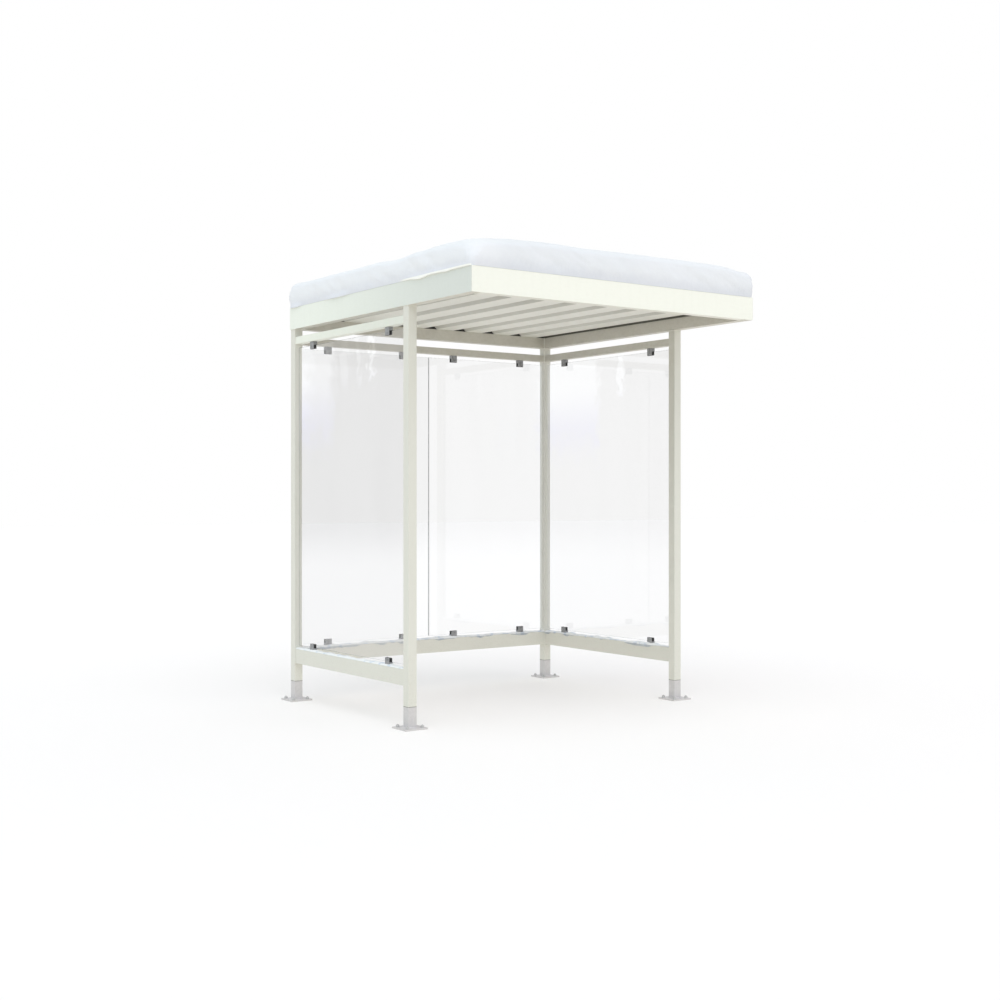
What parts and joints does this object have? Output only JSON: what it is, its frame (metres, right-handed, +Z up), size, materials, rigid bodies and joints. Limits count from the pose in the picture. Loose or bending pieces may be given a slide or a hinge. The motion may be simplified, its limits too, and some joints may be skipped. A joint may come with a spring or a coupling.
{
  "type": "smoking shelter",
  "caption": "Open-fronted smoking shelter with glazed back and sides in a slim white steel frame, a flat profiled roof with snow on it, and bolted feet.",
  "frame": {"origin": "middle of the footprint, on the underside of the base plates", "axes": "+Z up, +X to the right seen from the open front, +Y from the open front to the back wall"},
  "size_m": [2.34, 2.308, 2.916],
  "materials": {
    "frame_paint": "satin",
    "fascia_paint": "satin",
    "sheet_paint": "satin",
    "galvanised_steel": "galvanised, matt",
    "clear_glass": "clear",
    "clamp_steel": "brushed",
    "snow": "matt"
  },
  "bodies": {
    "root": {"front_left_post": "frame_paint", "front_left_foot": "galvanised_steel", "front_right_post": "frame_paint", "front_right_foot": "galvanised_steel", "back_left_post": "frame_paint", "back_left_foot": "galvanised_steel", "back_right_post": "frame_paint", "back_right_foot": "galvanised_steel", "left_bottom_rail": "frame_paint", "right_bottom_rail": "frame_paint", "back_bottom_rail": "frame_paint", "left_top_rail": "frame_paint", "right_top_rail": "frame_paint", "back_top_rail": "frame_paint", "left_roof_beam": "frame_paint", "left_fascia": "fascia_paint", "right_roof_beam": "frame_paint", "right_fascia": "fascia_paint", "front_roof_beam": "frame_paint", "front_fascia": "fascia_paint", "back_roof_beam": "frame_paint", "back_fascia": "fascia_paint", "roof_sheet": "sheet_paint", "left_glass": "clear_glass", "right_glass": "clear_glass", "back_left_glass": "clear_glass", "back_right_glass": "clear_glass", "left_bottom_clamp_front": "clamp_steel", "left_top_clamp_front": "clamp_steel", "left_bottom_clamp_back": "clamp_steel", "left_top_clamp_back": "clamp_steel", "right_bottom_clamp_front": "clamp_steel", "right_top_clamp_front": "clamp_steel", "right_bottom_clamp_back": "clamp_steel", "right_top_clamp_back": "clamp_steel", "back_bottom_clamp_1": "clamp_steel", "back_top_clamp_1": "clamp_steel", "back_bottom_clamp_2": "clamp_steel", "back_top_clamp_2": "clamp_steel", "back_bottom_clamp_3": "clamp_steel", "back_top_clamp_3": "clamp_steel", "back_bottom_clamp_4": "clamp_steel", "back_top_clamp_4": "clamp_steel", "roof_snow": "snow", "rail_snow": "snow"}
  },
  "joints": []
}
